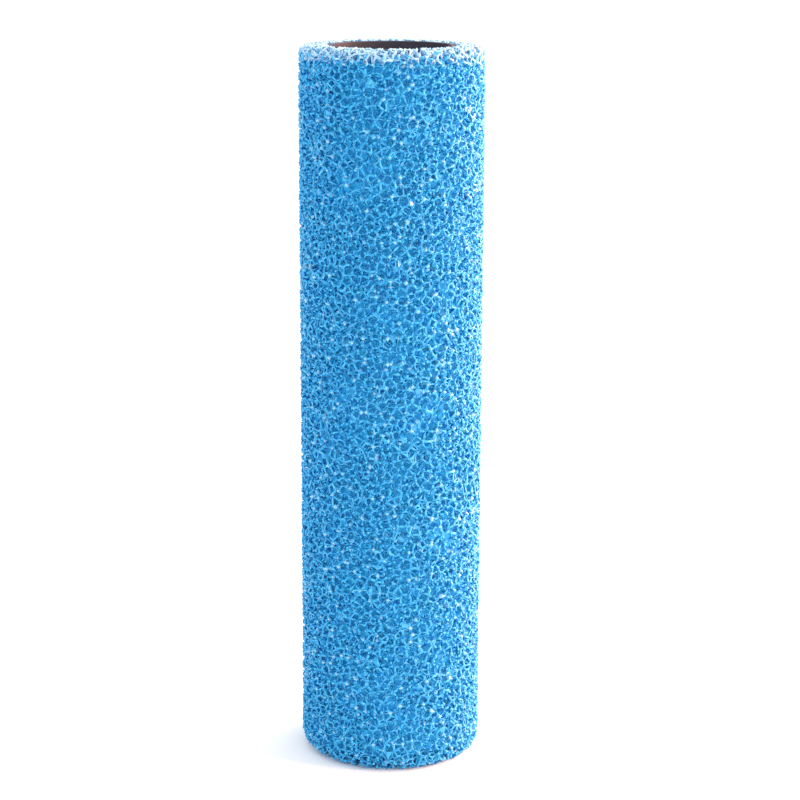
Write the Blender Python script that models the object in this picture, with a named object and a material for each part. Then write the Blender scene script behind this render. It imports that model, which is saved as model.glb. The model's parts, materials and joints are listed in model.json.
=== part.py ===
"""Sponge filter: a reticulated foam sleeve on a perforated core, which stands on end.

The foam sleeve pulls off the core for rinsing. The core is four identical caged sections pushed
into each other. Its foot is closed by a plug with a sealed steel ballast disc, and its mouth holds a
compression gland that grips a suction pipe. Units are metres, +Z is up along the bore, and the
origin is the centre of the foot, on the surface that the filter stands on.
"""

import math

import bmesh
import bpy

MM = 0.001
INCH = 0.0254

# Driving dimensions: the cartridge size, the clearance kept between touching pieces, the distance
# at which points of one mesh are merged, the suction pipe, and the gland's thread.
SLEEVE_LENGTH = 9.875 * INCH
SLEEVE_RADIUS = 2.5 * INCH / 2
BORE_RADIUS = 1.75 * INCH / 2
GAP = 0.3 * MM
WELD = 0.001 * MM
PIPE_RADIUS = 12.5 * MM
THREAD_LEAD = 3 * MM

# Foam sleeve edges: a rounded foot, and a softer shoulder that is wider than it is deep.
FOOT_ROUND = 5.2 * MM
SHOULDER_WIDTH = 5.1 * MM
SHOULDER_DEPTH = 3.4 * MM
MOUTH_ROUND = 0.9 * MM

# Core tube: caged sections joined by half laps, each lap a socket below and a spigot above.
CORE_RADIUS = BORE_RADIUS - GAP
CORE_WALL = 2 * MM
CORE_INSIDE = CORE_RADIUS - CORE_WALL
LAP_SPLIT = CORE_RADIUS - CORE_WALL / 2
LAP = 8 * MM
SECTION_COUNT = 4
HEAD_HEIGHT = 32 * MM
HEAD_RECESS = 0.6 * MM
HEAD_TOP = SLEEVE_LENGTH - HEAD_RECESS
HEAD_FOOT = HEAD_TOP - HEAD_HEIGHT
SECTION_PITCH = HEAD_FOOT / SECTION_COUNT

# Windows of a section: rows between rings, columns between ribs.
CORE_SEGMENTS = 48
WINDOW_COLUMNS = 8
RIB_SEGMENTS = 1
WINDOW_ROWS = 4
WINDOW_FOOT = 10.5 * MM
WINDOW_HEIGHT = 8 * MM
RING_HEIGHT = 3 * MM

# Outlet head: a web across the core carries a threaded boss for the pipe.
WEB_FOOT = HEAD_FOOT + LAP
WEB_THICKNESS = 2.5 * MM
BOSS_TOP = WEB_FOOT + 10.5 * MM
BOSS_RADIUS = 15 * MM
PIPE_HOLE = PIPE_RADIUS + 0.4 * MM
PIPE_STOP = PIPE_RADIUS - 1.5 * MM
SEAT_RADIUS = 14.2 * MM
SEAT_DEPTH = 3.6 * MM
SEAL_LIP = 0.8 * MM

# Gland: seal, slip washer and nut, stacked on the boss.
THREAD_DEPTH = 1 * MM
THREAD_ROOT_WIDTH = 1.5 * MM
THREAD_CREST_WIDTH = 0.8 * MM
THREAD_EMBED = 0.3 * MM
THREAD_FOOT = WEB_FOOT + WEB_THICKNESS + 1.7 * MM
BOSS_THREAD_TURNS = 1.75
NUT_THREAD_START = 0.6
NUT_THREAD_TURNS = 1
WASHER_THICKNESS = 0.8 * MM
WASHER_FOOT = BOSS_TOP + GAP
NUT_PLATE_FOOT = WASHER_FOOT + WASHER_THICKNESS + GAP
NUT_PLATE = 2.6 * MM
NUT_TOP = NUT_PLATE_FOOT + NUT_PLATE
NUT_FOOT = WEB_FOOT + WEB_THICKNESS + 1.2 * MM
NUT_INSIDE = BOSS_RADIUS + THREAD_DEPTH + GAP
NUT_RADIUS = 18.3 * MM
NUT_CHAMFER = 0.8 * MM
NUT_LUGS = 6
NUT_LUG_HEIGHT = 2 * MM
NUT_LUG_ROOT = 1 * MM
NUT_LUG_WIDTH = 3 * MM
NUT_LUG_INSIDE = 14.2 * MM
NUT_LUG_OUTSIDE = NUT_RADIUS - 1.2 * MM

# Foot plug: a cup that holds the ballast disc under a cover, sealed to the core by an O-ring.
PLUG_RADIUS = LAP_SPLIT - 2 * GAP
PLUG_NECK_RADIUS = CORE_INSIDE - GAP
PLUG_SHOULDER = LAP - GAP
PLUG_TOP = 12.5 * MM
PLUG_PLATE = 5 * MM
PLUG_CHAMFER = 0.6 * MM
CUP_RADIUS = 17.3 * MM
BALLAST_THICKNESS = 5 * MM
BALLAST_CHAMFER = 0.5 * MM
COVER_THICKNESS = 1.6 * MM
COVER_CHAMFER = 0.3 * MM
O_RING_SECTION = 1 * MM
O_RING_RADIUS = LAP_SPLIT - GAP - O_RING_SECTION
O_RING_HEIGHT = 4.4 * MM
GRIP_POCKET_DEPTH = 3.2 * MM
GRIP_POCKET_RADIUS = 14 * MM
GRIP_BAR_WIDTH = 6 * MM
OVERCUT = 1 * MM

TURNED_SEGMENTS = 48
SLEEVE_SEGMENTS = 64


def clear_scene():
    for obj in list(bpy.data.objects):
        bpy.data.objects.remove(obj)


def material(name, colour, roughness, metallic=0.0):
    made = bpy.data.materials.new(name)
    made.use_nodes = True
    shader = made.node_tree.nodes["Principled BSDF"]
    shader.inputs["Base Color"].default_value = (*colour, 1.0)
    shader.inputs["Roughness"].default_value = roughness
    shader.inputs["Metallic"].default_value = metallic
    return made


def add_object(name, bm, surface=None, smooth_angle=math.radians(35)):
    """An object from bm, which is freed. Without a material it is a cutter or a tool."""
    bmesh.ops.recalc_face_normals(bm, faces=bm.faces)
    mesh = bpy.data.meshes.new(name)
    bm.to_mesh(mesh)
    bm.free()
    mesh.shade_smooth()
    mesh.set_sharp_from_angle(angle=smooth_angle)
    obj = bpy.data.objects.new(name, mesh)
    bpy.context.scene.collection.objects.link(obj)
    if surface:
        mesh.materials.append(surface)
    else:
        obj.hide_render = True
        obj.display_type = "WIRE"
    return obj


def turned(outline, segments=TURNED_SEGMENTS):
    """A bmesh turned about Z from a closed outline of (radius, height) points."""
    bm = bmesh.new()
    points = [bm.verts.new((r, 0, z)) for r, z in outline]
    edges = [bm.edges.new((a, b)) for a, b in zip(points, points[1:] + points[:1])]
    bmesh.ops.spin(bm, geom=points + edges, cent=(0, 0, 0), axis=(0, 0, 1),
                   angle=2 * math.pi, steps=segments, use_merge=True)
    bmesh.ops.remove_doubles(bm, verts=bm.verts, dist=WELD)
    bmesh.ops.dissolve_degenerate(bm, edges=bm.edges, dist=WELD / 10)
    on_axis = [e for e in bm.edges if all(math.hypot(v.co.x, v.co.y) < WELD for v in e.verts)]
    bmesh.ops.delete(bm, geom=on_axis, context="EDGES")
    return bm


def arc(centre, width, height, start, end, steps):
    """Points of an elliptical arc about centre, from start to end in degrees."""
    angles = [math.radians(start + (end - start) * i / steps) for i in range(steps + 1)]
    return [(centre[0] + width * math.cos(a), centre[1] + height * math.sin(a)) for a in angles]


def extruded(corners, low, high):
    """A bmesh prism on a flat outline of (x, y) corners, from height low to height high."""
    bm = bmesh.new()
    face = bm.faces.new([bm.verts.new((x, y, low)) for x, y in corners])
    made = bmesh.ops.extrude_face_region(bm, geom=[face])
    top = [v for v in made["geom"] if isinstance(v, bmesh.types.BMVert)]
    bmesh.ops.translate(bm, verts=top, vec=(0, 0, high - low))
    return bm


def combine(obj, tool, operation):
    """Applies tool to obj by an exact Boolean, as a modifier that stays."""
    modifier = obj.modifiers.new(tool.name, "BOOLEAN")
    modifier.object = tool
    modifier.operation = operation
    modifier.solver = "EXACT"


def helical_ridge(root, crest, foot, first_turn, turns, segments=TURNED_SEGMENTS):
    """A bmesh thread ridge from radius root to crest, on the helix whose middle leaves +X at foot."""
    bm = bmesh.new()
    rings = []
    for i in range(int(turns * segments) + 1):
        turn = first_turn + i / segments
        angle = 2 * math.pi * turn
        height = foot + THREAD_LEAD * turn
        section = [(root, -THREAD_ROOT_WIDTH / 2), (crest, -THREAD_CREST_WIDTH / 2),
                   (crest, THREAD_CREST_WIDTH / 2), (root, THREAD_ROOT_WIDTH / 2)]
        rings.append([bm.verts.new((r * math.cos(angle), r * math.sin(angle), height + z))
                      for r, z in section])
    for low, high in zip(rings, rings[1:]):
        for k in range(4):
            bm.faces.new((low[k - 1], low[k], high[k], high[k - 1]))
    bm.faces.new(rings[0])
    bm.faces.new(reversed(rings[-1]))
    return bm


def foam_sleeve(surface):
    """The sleeve's outer shape: the pores are finer than the solid shows."""
    foot = arc((SLEEVE_RADIUS - FOOT_ROUND, FOOT_ROUND), FOOT_ROUND, FOOT_ROUND, -90, 0, 5)
    shoulder = arc((SLEEVE_RADIUS - SHOULDER_WIDTH, SLEEVE_LENGTH - SHOULDER_DEPTH),
                   SHOULDER_WIDTH, SHOULDER_DEPTH, 0, 90, 6)
    mouth = arc((BORE_RADIUS + MOUTH_ROUND, SLEEVE_LENGTH - MOUTH_ROUND),
                MOUTH_ROUND, MOUTH_ROUND, 90, 180, 2)
    outline = foot + shoulder + mouth + [(BORE_RADIUS, 0)]
    return add_object("foam_sleeve", turned(outline, SLEEVE_SEGMENTS), surface)


def open_window(bm, column, low, high):
    """Opens one window: drops its faces from both skins of the wall and bridges the two rims."""
    pitch = 2 * math.pi / WINDOW_COLUMNS
    rib = 2 * math.pi * RIB_SEGMENTS / CORE_SEGMENTS
    faces = []
    for face in bm.faces:
        centre = face.calc_center_median()
        angle = (math.atan2(centre.y, centre.x) - column * pitch) % (2 * math.pi)
        on_wall = abs(face.normal.z) < 0.5
        if on_wall and low < centre.z < high and rib < angle < pitch:
            faces.append(face)
    inside = set(faces)
    rim = [e for f in faces for e in f.edges if not inside.issuperset(e.link_faces)]
    bmesh.ops.delete(bm, geom=faces, context="FACES")
    bmesh.ops.bridge_loops(bm, edges=rim)


def core_section(name, foot, surface):
    """One caged section: a socket at its foot, rows of windows, and a spigot above its top."""
    top = SECTION_PITCH
    levels = []
    for row in range(WINDOW_ROWS):
        low = WINDOW_FOOT + row * (WINDOW_HEIGHT + RING_HEIGHT)
        levels += [low, low + WINDOW_HEIGHT]
    outer = [(CORE_RADIUS, 0)] + [(CORE_RADIUS, z) for z in levels] + [(CORE_RADIUS, top)]
    spigot = [(LAP_SPLIT - GAP, top), (LAP_SPLIT - GAP, top + LAP - GAP), (CORE_INSIDE, top + LAP - GAP)]
    inner = [(CORE_INSIDE, z) for z in reversed(levels)]
    socket = [(CORE_INSIDE, LAP), (LAP_SPLIT, LAP), (LAP_SPLIT, 0)]
    bm = turned(outer + spigot + inner + socket, CORE_SEGMENTS)
    bmesh.ops.recalc_face_normals(bm, faces=bm.faces)
    for row in range(WINDOW_ROWS):
        for column in range(WINDOW_COLUMNS):
            open_window(bm, column, levels[2 * row], levels[2 * row + 1])
    section = add_object(name, bm, surface)
    section.location.z = foot
    return section


def outlet_head(surface):
    """The core's top ring, with a web that carries the threaded boss and the pipe's seat."""
    web_top = WEB_FOOT + WEB_THICKNESS
    outline = [
        (CORE_RADIUS, HEAD_FOOT + GAP), (CORE_RADIUS, HEAD_TOP), (CORE_INSIDE, HEAD_TOP),
        (CORE_INSIDE, web_top), (BOSS_RADIUS, web_top), (BOSS_RADIUS, BOSS_TOP),
        (SEAT_RADIUS, BOSS_TOP), (SEAT_RADIUS, BOSS_TOP - SEAT_DEPTH), (PIPE_HOLE, BOSS_TOP - SEAT_DEPTH),
        (PIPE_HOLE, web_top), (PIPE_STOP, web_top), (PIPE_STOP, WEB_FOOT + GAP),
        (LAP_SPLIT, WEB_FOOT + GAP), (LAP_SPLIT, HEAD_FOOT + GAP),
    ]
    head = add_object("outlet_head", turned(outline), surface)
    thread = helical_ridge(BOSS_RADIUS - THREAD_EMBED, BOSS_RADIUS + THREAD_DEPTH,
                           THREAD_FOOT, 0, BOSS_THREAD_TURNS)
    combine(head, add_object("boss_thread_tool", thread), "UNION")
    return head


def pipe_seal(surface):
    """Rubber ring in the boss's seat, with a bevelled lip at its top for the pipe to enter."""
    outside = SEAT_RADIUS - GAP
    foot = BOSS_TOP - SEAT_DEPTH + GAP
    outline = [(outside, foot), (outside, BOSS_TOP), (PIPE_RADIUS + SEAL_LIP, BOSS_TOP),
               (PIPE_RADIUS, BOSS_TOP - SEAL_LIP), (PIPE_RADIUS, foot)]
    return add_object("pipe_seal", turned(outline), surface)


def slip_washer(surface):
    """Thin ring under the nut, which rises with it and doesn't turn."""
    outside = NUT_INSIDE - 2 * GAP
    top = WASHER_FOOT + WASHER_THICKNESS
    outline = [(PIPE_HOLE, WASHER_FOOT), (outside, WASHER_FOOT), (outside, top), (PIPE_HOLE, top)]
    return add_object("slip_washer", turned(outline), surface)


def gland_nut(surface):
    """Cap nut with lugs on top for the fingers, which clamps the seal on the pipe."""
    shoulder = NUT_TOP - NUT_CHAMFER
    outline = [
        (NUT_INSIDE, NUT_FOOT), (NUT_RADIUS, NUT_FOOT), (NUT_RADIUS, shoulder),
        (NUT_RADIUS - NUT_CHAMFER, NUT_TOP), (PIPE_HOLE + NUT_CHAMFER, NUT_TOP), (PIPE_HOLE, shoulder),
        (PIPE_HOLE, NUT_PLATE_FOOT), (NUT_INSIDE, NUT_PLATE_FOOT),
    ]
    nut = add_object("gland_nut", turned(outline), surface)
    thread = helical_ridge(NUT_INSIDE + THREAD_EMBED, BOSS_RADIUS + GAP,
                           THREAD_FOOT - THREAD_LEAD / 2, NUT_THREAD_START, NUT_THREAD_TURNS)
    combine(nut, add_object("nut_thread_tool", thread), "UNION")
    half = NUT_LUG_WIDTH / 2
    corners = [(NUT_LUG_INSIDE, -half), (NUT_LUG_OUTSIDE, -half), (NUT_LUG_OUTSIDE, half),
               (NUT_LUG_INSIDE, half)]
    for i in range(NUT_LUGS):
        lug = extruded(corners, NUT_TOP - NUT_LUG_ROOT, NUT_TOP + NUT_LUG_HEIGHT)
        tool = add_object(f"nut_lug_tool_{i + 1}", lug)
        tool.rotation_euler.z = 2 * math.pi * i / NUT_LUGS
        combine(nut, tool, "UNION")
    return nut


def foot_plug(surface):
    """Cup that closes the core's foot, with an O-ring groove and a finger bar in its face."""
    groove_low = O_RING_HEIGHT - O_RING_SECTION - GAP
    groove_high = O_RING_HEIGHT + O_RING_SECTION + GAP
    groove_radius = O_RING_RADIUS - O_RING_SECTION - GAP
    outline = [
        (0, 0), (PLUG_RADIUS - PLUG_CHAMFER, 0), (PLUG_RADIUS, PLUG_CHAMFER), (PLUG_RADIUS, groove_low),
        (groove_radius, groove_low), (groove_radius, groove_high), (PLUG_RADIUS, groove_high),
        (PLUG_RADIUS, PLUG_SHOULDER), (PLUG_NECK_RADIUS, PLUG_SHOULDER), (PLUG_NECK_RADIUS, PLUG_TOP),
        (CUP_RADIUS, PLUG_TOP), (CUP_RADIUS, PLUG_PLATE), (0, PLUG_PLATE),
    ]
    plug = add_object("foot_plug", turned(outline), surface)
    half_bar = GRIP_BAR_WIDTH / 2
    side = math.degrees(math.asin(half_bar / GRIP_POCKET_RADIUS))
    for turn, name in ((0, "grip_pocket_tool_front"), (math.pi, "grip_pocket_tool_back")):
        corners = arc((0, 0), GRIP_POCKET_RADIUS, GRIP_POCKET_RADIUS, side, 180 - side, 12)
        tool = add_object(name, extruded(corners, -OVERCUT, GRIP_POCKET_DEPTH))
        tool.rotation_euler.z = turn
        combine(plug, tool, "DIFFERENCE")
    return plug


def foot_o_ring(surface):
    outline = arc((O_RING_RADIUS, O_RING_HEIGHT), O_RING_SECTION, O_RING_SECTION, 0, 330, 11)
    return add_object("foot_o_ring", turned(outline), surface, smooth_angle=math.pi)


def disc(name, radius, foot, thickness, chamfer, surface):
    top = foot + thickness
    outline = [(0, foot), (radius - chamfer, foot), (radius, foot + chamfer),
               (radius, top - chamfer), (radius - chamfer, top), (0, top)]
    return add_object(name, turned(outline), surface)


def build():
    clear_scene()
    foam = material("blue_foam", (0.03, 0.29, 0.65), 0.6)
    plastic = material("black_polypropylene", (0.06, 0.045, 0.07), 0.55)
    rubber = material("black_rubber", (0.015, 0.015, 0.015), 0.7)
    washer = material("natural_acetal", (0.75, 0.75, 0.72), 0.4)
    steel = material("stainless_steel", (0.6, 0.6, 0.6), 0.3, 1.0)

    foam_sleeve(foam)
    for i in range(SECTION_COUNT):
        core_section(f"core_section_{i + 1}", i * SECTION_PITCH, plastic)
    outlet_head(plastic)
    pipe_seal(rubber)
    slip_washer(washer)
    gland_nut(plastic)
    foot_plug(plastic)
    foot_o_ring(rubber)
    ballast_foot = PLUG_PLATE + GAP
    disc("ballast_disc", CUP_RADIUS - GAP, ballast_foot, BALLAST_THICKNESS, BALLAST_CHAMFER, steel)
    disc("ballast_cover", CUP_RADIUS - GAP, ballast_foot + BALLAST_THICKNESS + GAP, COVER_THICKNESS,
         COVER_CHAMFER, plastic)


build()
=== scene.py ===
"""Looks of the sponge filter: open-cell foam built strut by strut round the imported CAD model."""

import itertools
import json
import math

import bpy
import numpy as np
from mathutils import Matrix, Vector
from mathutils.kdtree import KDTree


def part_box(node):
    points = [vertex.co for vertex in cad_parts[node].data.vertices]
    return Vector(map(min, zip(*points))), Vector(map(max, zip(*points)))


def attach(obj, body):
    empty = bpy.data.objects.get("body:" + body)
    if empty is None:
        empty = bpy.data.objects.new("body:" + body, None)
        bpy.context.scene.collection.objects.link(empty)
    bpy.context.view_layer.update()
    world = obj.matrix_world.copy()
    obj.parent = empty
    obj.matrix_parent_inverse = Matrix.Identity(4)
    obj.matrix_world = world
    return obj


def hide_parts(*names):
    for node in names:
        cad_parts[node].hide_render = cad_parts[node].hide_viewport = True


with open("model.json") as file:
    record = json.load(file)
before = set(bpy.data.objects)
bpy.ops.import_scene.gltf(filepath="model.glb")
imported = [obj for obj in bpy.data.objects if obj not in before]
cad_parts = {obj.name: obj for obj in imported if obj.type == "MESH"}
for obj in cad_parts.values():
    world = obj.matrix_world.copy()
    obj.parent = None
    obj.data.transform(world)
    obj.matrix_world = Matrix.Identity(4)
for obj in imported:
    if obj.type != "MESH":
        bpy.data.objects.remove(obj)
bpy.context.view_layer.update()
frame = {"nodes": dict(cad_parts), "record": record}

MM = 0.001
RNG = np.random.default_rng(7)

# The sleeve's shape, from its CAD node and the core inside it. The struts' centre lines end a little
# inside the sleeve's top and side, because the struts have a thickness. The foot's rounding is larger
# at -X than at +X by twice the skew, and the top face drops by the lip at the bore's edge.
SLEEVE_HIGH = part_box("foam_sleeve")[1]
CORE_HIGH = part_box("core_section_1")[1]
RADIUS = SLEEVE_HIGH.x
TOP_INSET = 0.3 * MM
SIDE_INSET = 0.1 * MM
BORE_GAP = 0.3 * MM
LENGTH = SLEEVE_HIGH.z - TOP_INSET
BORE = CORE_HIGH.x + BORE_GAP
FOAM_RADIUS = RADIUS - SIDE_INSET
FOOT_ROUND = 4.9 * MM
FOOT_SKEW = 0.8 * MM
SHOULDER_WIDTH = 4.2 * MM
SHOULDER_DEPTH = 2.6 * MM
LIP_WIDTH = 1.5 * MM
LIP_DROP = 0.5 * MM

# Cells: their size, the margin filled round the sleeve in cell sizes, a cell's volume in cubes of
# that size, and how their centres are pushed apart.
CELL = 2.9 * MM
CELL_MARGIN = 1.1
CELL_VOLUME = 0.72
PUSHES = 6
PUSH_SHARE = 0.35
PUSHED_BY = 12

# Corners where four cells meet: how many neighbours are tried, the largest radius of a corner's
# sphere in cell sizes, the volume below which four centres lie too flat, and the tolerance for a
# centre that lies on the sphere. Then how often an edge is halved to find where it leaves the foam.
CORNER_NEIGHBOURS = 24
CORNER_REACH = 1.3
FLAT_VOLUME = 1e-13
SAME_REACH = 1e-7
CUT_HALVINGS = 14

# Struts: radii at their ends and middles, modelled down to a depth under the surface. Those deeper
# than the fine depth are plain prisms, in a paler tone that is painted light standing in for light
# scattered through the foam. A strut near the top takes a pale tone that is a painted highlight of
# light from above, with a chance that falls with its depth below the top and is certain near it.
# Tones are counted in the order in which foam() lists them. A strut counts as steep when this much
# of its direction is upward.
STRUT_SIDES = 3
STRUT_DEPTH = 3.6 * MM
STRUT_END = 0.50 * MM
STRUT_MIDDLE = 0.34 * MM
STRUT_SPREAD = (0.8, 1.25)
INNER_THICKNESS = 1.25
SHORTEST_STRUT = 0.25 * MM
FINE_DEPTH = 1.9 * MM
PAINTED_TOP_CHANCE = 1.3
PAINTED_TOP_DEPTH = 4.5 * MM
OUTER_TONES, INNER_TONE, PAINTED_TOP_TONE = 3, 3, 4
SECTORS = 10
STEEP = 0.8

# Lumps at the outer corners, with the distance from their middles to their tips; their pale colour is
# a painted highlight. Films across the windows between cells: a film is kept on 3 or 4 of a
# window's corners.
KNOT_SHARE = 0.09
KNOT_DEPTH = (0.4 * MM, 1.5 * MM)
KNOT_SIZE = (0.7 * MM, 1.1 * MM)
WINDOW_SHARE = 0.2
WINDOW_DEPTH = 2 * MM
WINDOW_FILM = 0.06 * MM
WINDOW_CORNERS = range(4, 9)
FILM_CORNERS = (3, 5)

# The body under the struts: its place under the surface, its slanted edges, the spacing of its
# points, the margin between its side and its ends, its dents, and the scale of its mottling.
BODY_COVER = 2.8 * MM
BODY_OVERLAP = 0.5 * MM
BODY_BORE_GAP = 0.15 * MM
BODY_SLANT = (2 * MM, 3 * MM)
BODY_EDGE = 0.1 * MM
BODY_STEP = 1.0 * MM
BODY_DENT = 1.1 * MM
DENT_RADIUS = 0.5 * CELL
INSIDE_SCALE = 420

# The core and its fittings: the distance at which facets' corners are joined, the rounding of
# edges, the noise values between which a colour or a gloss changes, and the scales of their
# surfaces' mottling, gloss and grain.
WELD = 0.002 * MM
EDGE_ROUND = 0.2 * MM
EDGE_ANGLE = math.radians(35)
RAMP = (0.35, 0.65)
MOTTLE_SCALE = 90
GLOSS_SCALE = 260
GLOSS_SPREAD = (-0.08, 0.1)
GRAIN_SCALE = 2600
GRAIN_DETAIL = 2
GRAIN_STRENGTH = 0.25
GRAIN_DEPTH = 0.06 * MM

# The studio: metres and watts.
FLOOR_HALF = 12
WORLD_STRENGTH = 1.24
WARM = (1, 0.52, 0.35)
WARMER = (1, 0.44, 0.27)
SOFT_WARM = (1, 0.85, 0.75)

# The camera looks along +Y and down, with a slight roll.
CAMERA_PLACE = (2.5 * MM, -735.9 * MM, 300.2 * MM)
CAMERA_DOWN = 0.2314
CAMERA_ROLL = -0.0034
CAMERA_LENS = 96.8
CAMERA_NEAR = 0.01


def add_piece(name, mesh):
    """A new object in the scene that holds a mesh."""
    piece = bpy.data.objects.new(name, mesh)
    bpy.context.scene.collection.objects.link(piece)
    return piece


# ---- materials ----

def shader_material(name, colour, roughness, **sockets):
    """A material that is the same all over. An underscore in a socket's name stands for a space."""
    made = bpy.data.materials.new(name)
    made.use_nodes = True
    shader = made.node_tree.nodes["Principled BSDF"]
    shader.inputs["Base Color"].default_value = (*colour, 1)
    shader.inputs["Roughness"].default_value = roughness
    for socket, value in sockets.items():
        shader.inputs[socket.replace("_", " ")].default_value = value
    return made


def add_noise(material, scale, detail=4):
    """A noise texture in object coordinates, which stay with the piece when it moves."""
    nodes, links = material.node_tree.nodes, material.node_tree.links
    place = nodes.new("ShaderNodeTexCoord")
    noise = nodes.new("ShaderNodeTexNoise")
    noise.inputs["Scale"].default_value = scale
    noise.inputs["Detail"].default_value = detail
    links.new(place.outputs["Object"], noise.inputs["Vector"])
    return noise


def drive(material, noise, socket, low, high):
    """Drives a number or colour of the shader from noise, between low and high."""
    nodes, links = material.node_tree.nodes, material.node_tree.links
    shader = nodes["Principled BSDF"]
    ramp = nodes.new("ShaderNodeValToRGB")
    for element, position, value in zip(ramp.color_ramp.elements, RAMP, (low, high)):
        element.position = position
        colour = value if isinstance(value, tuple) else (value, value, value)
        element.color = (*colour, 1)
    links.new(noise.outputs["Fac"], ramp.inputs["Fac"])
    links.new(ramp.outputs["Color"], shader.inputs[socket])


def bump(material, noise, strength, distance):
    """Raises the surface by noise, up to a distance."""
    nodes, links = material.node_tree.nodes, material.node_tree.links
    node = nodes.new("ShaderNodeBump")
    node.inputs["Strength"].default_value = strength
    node.inputs["Distance"].default_value = distance
    links.new(noise.outputs["Fac"], node.inputs["Height"])
    links.new(node.outputs["Normal"], nodes["Principled BSDF"].inputs["Normal"])


# ---- foam: the network of struts ----

def depth_below(points):
    """How far each point lies below the sleeve's surface. It is negative outside the foam."""
    r = np.hypot(points[:, 0], points[:, 1])
    z = points[:, 2]
    top = LENGTH - LIP_DROP * np.clip((BORE + LIP_WIDTH - r) / LIP_WIDTH, 0, 1)
    foot = FOOT_ROUND - FOOT_SKEW * points[:, 0] / RADIUS
    outside = np.maximum(r - FOAM_RADIUS, np.maximum(z - top, -z))
    for width, height, up in ((SHOULDER_WIDTH, SHOULDER_DEPTH, z - LENGTH + SHOULDER_DEPTH),
                              (foot, foot, foot - z)):
        across = (r - FOAM_RADIUS + width) / width
        along = up / height
        rounded = (np.hypot(across, along) - 1) * (width + height) / 2
        outside = np.where((across > 0) & (along > 0), rounded, outside)
    return -np.maximum(outside, BORE - r)


def point_tree(points):
    """A tree that finds the points nearest to a place."""
    tree = KDTree(len(points))
    for i, point in enumerate(points):
        tree.insert(point, i)
    tree.balance()
    return tree


def nearest(points, count):
    """The indices of each point's nearest others, nearest first."""
    tree = point_tree(points)
    return np.array([[found[1] for found in tree.find_n(point, count + 1)[1:]] for point in points])


def cell_centres():
    """Scattered cell centres, pushed apart until they are about evenly spaced."""
    pad = CELL_MARGIN * CELL
    low, high = BORE - pad, RADIUS + pad
    filled = math.pi * (high ** 2 - low ** 2) * (LENGTH + 2 * pad)
    count = int(filled / (CELL_VOLUME * CELL ** 3))
    r = np.sqrt(RNG.uniform(low ** 2, high ** 2, count))
    angle = RNG.uniform(0, 2 * math.pi, count)
    z = RNG.uniform(-pad, LENGTH + pad, count)
    deep = STRUT_DEPTH + pad
    kept = (r > RADIUS - deep) | (z < deep) | (z > LENGTH - deep)
    centres = np.stack([r * np.cos(angle), r * np.sin(angle), z], 1)[kept]
    for _ in range(PUSHES):
        apart = centres[nearest(centres, PUSHED_BY)] - centres[:, None]
        distance = np.linalg.norm(apart, axis=2, keepdims=True)
        centres -= PUSH_SHARE * (np.clip(CELL - distance, 0, None) * apart / distance).sum(1)
    return centres


def cell_corners(centres):
    """The corners where four cells meet: each one's four cells, and its place.

    A corner is the middle of a sphere through four centres, with no other centre inside it.
    """
    near = nearest(centres, CORNER_NEIGHBOURS)
    triples = [np.array(list(itertools.combinations(range(n), 3))).reshape(-1, 3)
               for n in range(CORNER_NEIGHBOURS + 1)]
    cells, places = [], []
    for i, others in enumerate(near):
        later = others[others > i]
        if len(later) < 3:
            continue
        around = centres[others] - centres[i]
        pick = triples[len(later)]
        a, b, c = (centres[later] - centres[i])[pick.T]
        bc = np.cross(b, c)
        volume = 2 * (a * bc).sum(1)
        solid = np.abs(volume) > FLAT_VOLUME
        pick, a, b, c, bc, volume = (x[solid] for x in (pick, a, b, c, bc, volume))
        squares = [(x * x).sum(1)[:, None] for x in (a, b, c)]
        middle = squares[0] * bc + squares[1] * np.cross(c, a) + squares[2] * np.cross(a, b)
        middle /= volume[:, None]
        reach = (middle * middle).sum(1)
        small = reach < (CORNER_REACH * CELL) ** 2
        pick, middle, reach = pick[small], middle[small], reach[small]
        gap = ((middle[:, None] - around[None]) ** 2).sum(2)
        empty = (gap >= reach[:, None] * (1 - SAME_REACH)).all(1)
        cells.extend(np.sort(np.append(later[t], i)) for t in pick[empty])
        places.extend(centres[i] + middle[empty])
    return np.array(cells), np.array(places)


def sort_keys(keys):
    """All the corners' keys in order, and the corner that each belongs to."""
    owners = np.tile(np.arange(len(keys[0])), len(keys))
    keys = np.concatenate(keys)
    order = np.argsort(keys, kind="stable")
    return keys[order], owners[order]


def cell_edges(cells, count):
    """Pairs of corners that share three cells: the edges between the cells."""
    keys = []
    for left_out in range(4):
        a, b, c = np.delete(cells, left_out, axis=1).astype(np.int64).T
        keys.append((a * count + b) * count + c)
    keys, owners = sort_keys(keys)
    same = keys[1:] == keys[:-1]
    return owners[:-1][same], owners[1:][same]


def cut_to_sleeve(start, end):
    """The parts of the edges inside the sleeve. They end on its surface."""
    depth_start, depth_end = depth_below(start), depth_below(end)
    kept = (depth_start > 0) | (depth_end > 0)
    start, end, depth_start, depth_end = (x[kept] for x in (start, end, depth_start, depth_end))
    swap = (depth_start < 0)[:, None]
    start, end = np.where(swap, end, start), np.where(swap, start, end)
    cut = ((depth_start < 0) | (depth_end < 0))[:, None]
    low, high = np.zeros(len(start)), np.ones(len(start))
    for _ in range(CUT_HALVINGS):
        middle = (low + high) / 2
        inside = depth_below(start + (end - start) * middle[:, None]) > 0
        low, high = np.where(inside, middle, low), np.where(inside, high, middle)
    end = np.where(cut, start + (end - start) * low[:, None], end)
    return start, end


def strut_faces(rings):
    """The corners of one strut's faces and each face's size: sides between rings, then two caps."""
    quads = []
    last = (rings - 1) * STRUT_SIDES
    for ring in range(0, last, STRUT_SIDES):
        above = ring + STRUT_SIDES
        for k in range(STRUT_SIDES):
            following = (k + 1) % STRUT_SIDES
            quads.append((ring + k, ring + following, above + following, above + k))
    caps = [*reversed(range(STRUT_SIDES)), *range(last, last + STRUT_SIDES)]
    corners = np.array([*itertools.chain(*quads), *caps])
    return corners, np.array([4] * len(quads) + [STRUT_SIDES] * 2)


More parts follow.
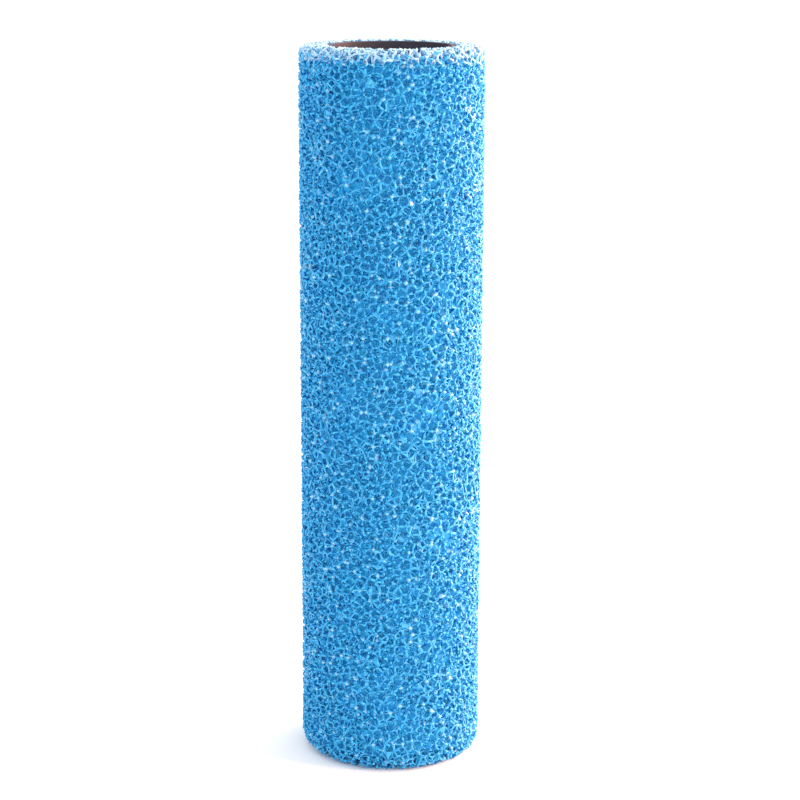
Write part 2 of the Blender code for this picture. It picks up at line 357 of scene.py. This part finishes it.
def strut_mesh(name, start, end, stops, tones, materials):
    """One strut per edge, with a closed cap at each end.

    stops holds (share of the length, radius of each strut there) pairs.
    """
    along = end - start
    along /= np.linalg.norm(along, axis=1, keepdims=True)
    steep = np.abs(along[:, 2:]) >= STEEP
    other = np.where(steep, (1.0, 0.0, 0.0), (0.0, 0.0, 1.0))
    side = np.cross(along, other)
    side /= np.linalg.norm(side, axis=1, keepdims=True)
    up = np.cross(along, side)
    rings = []
    for where, radius in stops:
        middle = start + (end - start) * where
        for k in range(STRUT_SIDES):
            angle = 2 * math.pi * k / STRUT_SIDES
            rings.append(middle + radius * (math.cos(angle) * side + math.sin(angle) * up))
    points = np.stack(rings, 1).reshape(-1, 3)
    corners, sizes = strut_faces(len(stops))
    count = len(start)
    loops = (corners[None] + len(rings) * np.arange(count)[:, None]).ravel()
    face_sizes = np.tile(sizes, count)
    face_starts = np.concatenate([[0], np.cumsum(face_sizes)[:-1]])
    mesh = bpy.data.meshes.new(name)
    mesh.vertices.add(len(points))
    mesh.vertices.foreach_set("co", points.ravel())
    mesh.loops.add(len(loops))
    mesh.loops.foreach_set("vertex_index", loops)
    mesh.polygons.add(len(face_sizes))
    mesh.polygons.foreach_set("loop_start", face_starts)
    for material in materials:
        mesh.materials.append(material)
    mesh.polygons.foreach_set("material_index", np.repeat(tones, len(sizes)))
    mesh.update(calc_edges=True)
    mesh.shade_smooth()
    return add_piece(name, mesh)


def knot_piece(places, material):
    """Lumps at some of the outer corners, where the struts run together; their pale colour is a
    painted highlight.

    A lump has four tips round its middle, one above it and one below it.
    """
    depth = depth_below(places)
    outer = (depth > KNOT_DEPTH[0]) & (depth < KNOT_DEPTH[1])
    shown = outer & (RNG.random(len(places)) < KNOT_SHARE)
    middles = places[shown]
    tips = np.array([(1, 0, 0), (0, 1, 0), (-1, 0, 0), (0, -1, 0), (0, 0, 1), (0, 0, -1)])
    points = middles[:, None] + tips * RNG.uniform(*KNOT_SIZE, (len(middles), len(tips), 1))
    sides = [(k, (k + 1) % 4, 4) for k in range(4)] + [((k + 1) % 4, k, 5) for k in range(4)]
    faces = np.array(sides) + len(tips) * np.arange(len(middles))[:, None, None]
    mesh = bpy.data.meshes.new("foam_knots")
    mesh.from_pydata(points.reshape(-1, 3).tolist(), [], faces.reshape(-1, 3).tolist())
    mesh.materials.append(material)
    mesh.shade_smooth()
    return add_piece("foam_knots", mesh)


def window_piece(centres, cells, places, material):
    """Thin films left across part of a few of the windows between cells, which catch the light.

    The corners that share two cells are the corners of the window between them.
    """
    count = len(centres)
    keys, owners = sort_keys([cells[:, a].astype(np.int64) * count + cells[:, b]
                              for a, b in itertools.combinations(range(4), 2)])
    starts = np.flatnonzero(np.concatenate([[True], keys[1:] != keys[:-1]]))
    depth = depth_below(places)
    points, faces = [], []
    for begin, end in zip(starts, np.append(starts[1:], len(keys))):
        corners = owners[begin:end]
        if RNG.random() > WINDOW_SHARE or len(corners) not in WINDOW_CORNERS:
            continue
        if depth[corners].min() < 0 or depth[corners].mean() > WINDOW_DEPTH:
            continue
        a, b = divmod(keys[begin], count)
        axis = centres[b] - centres[a]
        axis /= np.linalg.norm(axis)
        middle = places[corners].mean(0)
        arm = places[corners[0]] - middle
        across = np.cross(axis, arm)
        reach = places[corners] - middle
        ring = places[corners[np.argsort(np.arctan2(reach @ across, reach @ arm))]]
        ring = np.roll(ring, RNG.integers(len(ring)), axis=0)[:RNG.integers(*FILM_CORNERS)]
        n, base = len(ring), len(points)
        points += list(ring - axis * WINDOW_FILM / 2) + list(ring + axis * WINDOW_FILM / 2)
        faces.append([base + k for k in reversed(range(n))])
        faces.append([base + n + k for k in range(n)])
        for k in range(n):
            following = (k + 1) % n
            faces.append([base + k, base + following, base + n + following, base + n + k])
    mesh = bpy.data.meshes.new("foam_windows")
    mesh.from_pydata(points, [], faces)
    mesh.materials.append(material)
    return add_piece("foam_windows", mesh)


def strut_pieces(cells, places, count, materials):
    """The sleeve's struts, in sectors round the axis."""
    first, second = cell_edges(cells, count)
    start, end = cut_to_sleeve(places[first], places[second])
    middle = (start + end) / 2
    long = np.linalg.norm(end - start, axis=1) > SHORTEST_STRUT
    shown = long & (depth_below(middle) < STRUT_DEPTH)
    start, end, middle = start[shown], end[shown], middle[shown]
    fine = depth_below(middle) < FINE_DEPTH
    # Deeper struts take the paler inner tone: painted light standing in for light scattered through
    # the foam.
    tones = np.where(fine, RNG.integers(0, OUTER_TONES, len(start)), INNER_TONE)
    # Struts near the top are painted paler: a painted highlight of light falling from above.
    painted_top = PAINTED_TOP_CHANCE - (LENGTH - middle[:, 2]) / PAINTED_TOP_DEPTH
    tones[RNG.random(len(start)) < painted_top] = PAINTED_TOP_TONE
    thick = RNG.uniform(*STRUT_SPREAD, (len(start), 1))
    sector = ((np.arctan2(middle[:, 1], middle[:, 0]) / (2 * math.pi)) % 1 * SECTORS).astype(int)
    pieces = []
    for k in range(SECTORS):
        here = (sector == k) & fine
        stops = [(0, STRUT_END * thick[here]), (0.5, STRUT_MIDDLE * thick[here]),
                 (1, STRUT_END * thick[here])]
        pieces.append(strut_mesh(f"foam_struts_outer_{k + 1}", start[here], end[here], stops,
                                 tones[here], materials))
        here = (sector == k) & ~fine
        radius = STRUT_MIDDLE * INNER_THICKNESS * thick[here]
        stops = [(0, radius), (1, radius)]
        pieces.append(strut_mesh(f"foam_struts_inner_{k + 1}", start[here], end[here], stops,
                                 tones[here], materials))
    return pieces


# ---- foam: the pitted body under the struts ----

def body_outline(inner, outer, low, high):
    """The body's section, as evenly spaced points (r, z) with slanted edges at both ends."""
    slant_in, slant_up = BODY_SLANT
    corners = [(inner, low), (outer - slant_in, low), (outer, low + slant_up),
               (outer, high - slant_up), (outer - slant_in, high), (inner, high)]
    outline = []
    for (r0, z0), (r1, z1) in zip(corners, corners[1:] + corners[:1]):
        count = max(1, round(math.hypot(r1 - r0, z1 - z0) / BODY_STEP))
        outline += [(r0 + (r1 - r0) * i / count, z0 + (z1 - z0) * i / count) for i in range(count)]
    return outline


def foam_body(centres, material):
    """A closed body under the struts, dented towards the cells' centres."""
    outer = RADIUS - STRUT_DEPTH + BODY_OVERLAP
    inner = BORE + BODY_BORE_GAP
    low, high = BODY_COVER, LENGTH - BODY_COVER
    outline = body_outline(inner, outer, low, high)
    around = round(2 * math.pi * outer / BODY_STEP)
    angles = 2 * math.pi * np.arange(around) / around
    r, z = np.array(outline).T
    points = np.stack([np.outer(np.cos(angles), r), np.outer(np.sin(angles), r),
                       np.tile(z, (around, 1))], 2).reshape(-1, 3)
    tree = point_tree(centres)
    far = np.array([tree.find(point)[2] for point in points])
    dent = np.clip(1 - far / DENT_RADIUS, 0, 1) * BODY_DENT
    radial = np.hypot(points[:, 0], points[:, 1])
    on_bore = np.isclose(radial, inner)
    end = BODY_SLANT[1] + BODY_EDGE
    on_side = (points[:, 2] > low + end) & (points[:, 2] < high - end) & ~on_bore
    direction = np.zeros_like(points)
    direction[on_side, :2] = -points[on_side, :2] / radial[on_side, None]
    direction[on_bore, :2] = points[on_bore, :2] / radial[on_bore, None]
    on_end = ~(on_bore | on_side)
    direction[on_end, 2] = np.sign((low + high) / 2 - points[on_end, 2])
    points = points + direction * dent[:, None]
    n = len(outline)
    i, j = np.meshgrid(np.arange(around), np.arange(n), indexing="ij")
    i2, j2 = (i + 1) % around, (j + 1) % n
    faces = np.stack([i * n + j, i2 * n + j, i2 * n + j2, i * n + j2], 2).reshape(-1, 4)
    mesh = bpy.data.meshes.new("foam_body")
    mesh.from_pydata(points.tolist(), [], faces.tolist())
    mesh.materials.append(material)
    mesh.shade_smooth()
    mesh.update()
    return add_piece("foam_body", mesh)


def foam_tone(name, colour, roughness, sheen):
    """One tone of the struts, which keep a slight gloss from the foam's skin."""
    return shader_material(name, colour, roughness, Sheen_Weight=sheen, Specular_IOR_Level=0.8)


def foam():
    """The sleeve's foam: its body, which carries the struts, the films and the lumps."""
    tones = [
        foam_tone("foam_strut_deep", (0.003, 0.40, 0.84), 0.55, 0.07),
        foam_tone("foam_strut_blue", (0.006, 0.44, 0.87), 0.52, 0.07),
        foam_tone("foam_strut_pale", (0.030, 0.49, 0.89), 0.48, 0.07),
        # Paler than the outer tones: painted light standing in for light scattered through the foam.
        foam_tone("foam_strut_inner_painted_fill", (0.020, 0.55, 0.95), 0.55, 0.07),
        # Pale tone of the top struts: a painted highlight of light from above.
        foam_tone("foam_strut_painted_top_highlight", (0.34, 0.65, 0.92), 0.5, 0.2),
    ]
    # A pale tone for the lumps: a painted highlight.
    knot = foam_tone("foam_knot_painted_highlight", (0.24, 0.61, 0.90), 0.3, 0.15)
    # The body's blue, mottled at random, is partly the foam's own colour and partly painted light: it
    # is set paler than the outer struts to stand in for light scattered through the foam.
    low, high = (0.015, 0.44, 0.92), (0.025, 0.52, 0.95)
    inside = shader_material("foam_inside_painted_fill", low, 0.7)
    drive(inside, add_noise(inside, INSIDE_SCALE), "Base Color", low, high)
    film = shader_material("foam_film", (0.03, 0.44, 0.83), 0.3, Specular_IOR_Level=1.0)
    centres = cell_centres()
    cells, places = cell_corners(centres)
    body = foam_body(centres, inside)
    for piece in strut_pieces(cells, places, len(centres), tones):
        piece.parent = body
    window_piece(centres, cells, places, film).parent = body
    knot_piece(places, knot).parent = body
    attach(body, "sleeve")
    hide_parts("foam_sleeve")


# ---- core and fittings ----

def mottled_material(name, low, high, roughness, **sockets):
    """A surface mottled between two colours, with a fine grain and uneven gloss."""
    made = shader_material(name, low, roughness, **sockets)
    drive(made, add_noise(made, MOTTLE_SCALE), "Base Color", low, high)
    glossy, dull = (roughness + change for change in GLOSS_SPREAD)
    drive(made, add_noise(made, GLOSS_SCALE), "Roughness", glossy, dull)
    bump(made, add_noise(made, GRAIN_SCALE, GRAIN_DETAIL), GRAIN_STRENGTH, GRAIN_DEPTH)
    return made


def weld_and_smooth():
    """A node group that joins a solid's facets at their corners and shades them smooth."""
    group = bpy.data.node_groups.new("weld_and_smooth", "GeometryNodeTree")
    group.interface.new_socket("Geometry", in_out="INPUT", socket_type="NodeSocketGeometry")
    group.interface.new_socket("Geometry", in_out="OUTPUT", socket_type="NodeSocketGeometry")
    start = group.nodes.new("NodeGroupInput")
    merge = group.nodes.new("GeometryNodeMergeByDistance")
    merge.inputs["Distance"].default_value = WELD
    forget = group.nodes.new("GeometryNodeRemoveAttribute")
    forget.inputs["Name"].default_value = "custom_normal"
    smooth = group.nodes.new("GeometryNodeSetShadeSmooth")
    end = group.nodes.new("NodeGroupOutput")
    steps = (start, merge, forget, smooth, end)
    for before, after in zip(steps, steps[1:]):
        group.links.new(before.outputs["Geometry"], after.inputs["Geometry"])
    return group


def round_edges(node, group):
    """Rounds a solid's sharp edges slightly, and shades its turned faces as round ones."""
    node.modifiers.new("weld_and_smooth", "NODES").node_group = group
    bevel = node.modifiers.new("edges", "BEVEL")
    bevel.width = EDGE_ROUND
    bevel.segments = 2
    bevel.limit_method = "ANGLE"
    bevel.angle_limit = EDGE_ANGLE
    node.modifiers.new("normals", "WEIGHTED_NORMAL")


def dress_core():
    """Materials and rounded edges for the CAD solids inside the sleeve, by their material slots."""
    looks = {
        "core": mottled_material("black_plastic", (0.036, 0.036, 0.054), (0.054, 0.053, 0.080), 0.6,
                                 Specular_IOR_Level=0.25),
        "rubber": mottled_material("black_rubber", (0.010, 0.010, 0.011), (0.016, 0.016, 0.017), 0.75),
        "washer": mottled_material("white_acetal", (0.70, 0.70, 0.66), (0.76, 0.76, 0.72), 0.38),
        "ballast": mottled_material("ballast_steel", (0.50, 0.50, 0.51), (0.60, 0.60, 0.61), 0.35,
                                    Metallic=1),
    }
    group = weld_and_smooth()
    for entry in frame["record"]["subparts"]:
        if entry["material_slot"] in looks:
            node = frame["nodes"][entry["node"]]
            node.data.materials.clear()
            node.data.materials.append(looks[entry["material_slot"]])
            round_edges(node, group)


# ---- studio ----

def floor():
    """The white floor that the filter stands on."""
    mesh = bpy.data.meshes.new("floor")
    corners = [(-1, -1), (1, -1), (1, 1), (-1, 1)]
    mesh.from_pydata([(x * FLOOR_HALF, y * FLOOR_HALF, 0) for x, y in corners], [], [(0, 1, 2, 3)])
    mesh.materials.append(shader_material("floor_white", (0.98, 0.98, 0.98), 0.9))
    ground = add_piece("floor", mesh)


def softbox(name, place, aim, size, power, colour):
    """A rectangular lamp at a place, turned towards what it is aimed at."""
    data = bpy.data.lights.new(name, "AREA")
    data.color = colour
    data.shape = "RECTANGLE"
    data.size, data.size_y = size
    data.energy = power
    lamp = bpy.data.objects.new(name, data)
    lamp.location = place
    lamp.rotation_euler = (Vector(aim) - Vector(place)).to_track_quat("-Z", "Y").to_euler()
    bpy.context.scene.collection.objects.link(lamp)


def studio():
    """Even white light from all round, and warm lamps at the right and above."""
    world = bpy.data.worlds.new("studio")
    bpy.context.scene.world = world
    world.use_nodes = True
    background = world.node_tree.nodes["Background"]
    background.inputs["Color"].default_value = (1, 1, 1, 1)
    background.inputs["Strength"].default_value = WORLD_STRENGTH
    softbox("key", place=(0.8, -0.25, 0.4), aim=(0, 0, 0.13), size=(0.2, 0.4), power=6.5, colour=WARM)
    softbox("rim", place=(0.9, 0.4, 0.35), aim=(0, 0, 0.13), size=(0.6, 0.8), power=34, colour=WARMER)
    softbox("top", place=(0.15, 0.1, 0.85), aim=(0, 0, 0.24), size=(0.3, 0.3), power=3,
            colour=SOFT_WARM)
    bpy.context.scene.view_settings.view_transform = "Standard"


def camera():
    data = bpy.data.cameras.new("camera")
    data.lens = CAMERA_LENS
    data.clip_start = CAMERA_NEAR
    view = bpy.data.objects.new("camera", data)
    view.location = CAMERA_PLACE
    view.rotation_euler = (math.pi / 2 - CAMERA_DOWN, CAMERA_ROLL, 0)
    bpy.context.scene.collection.objects.link(view)
    bpy.context.scene.camera = view


camera()
foam()
dress_core()
floor()
studio()
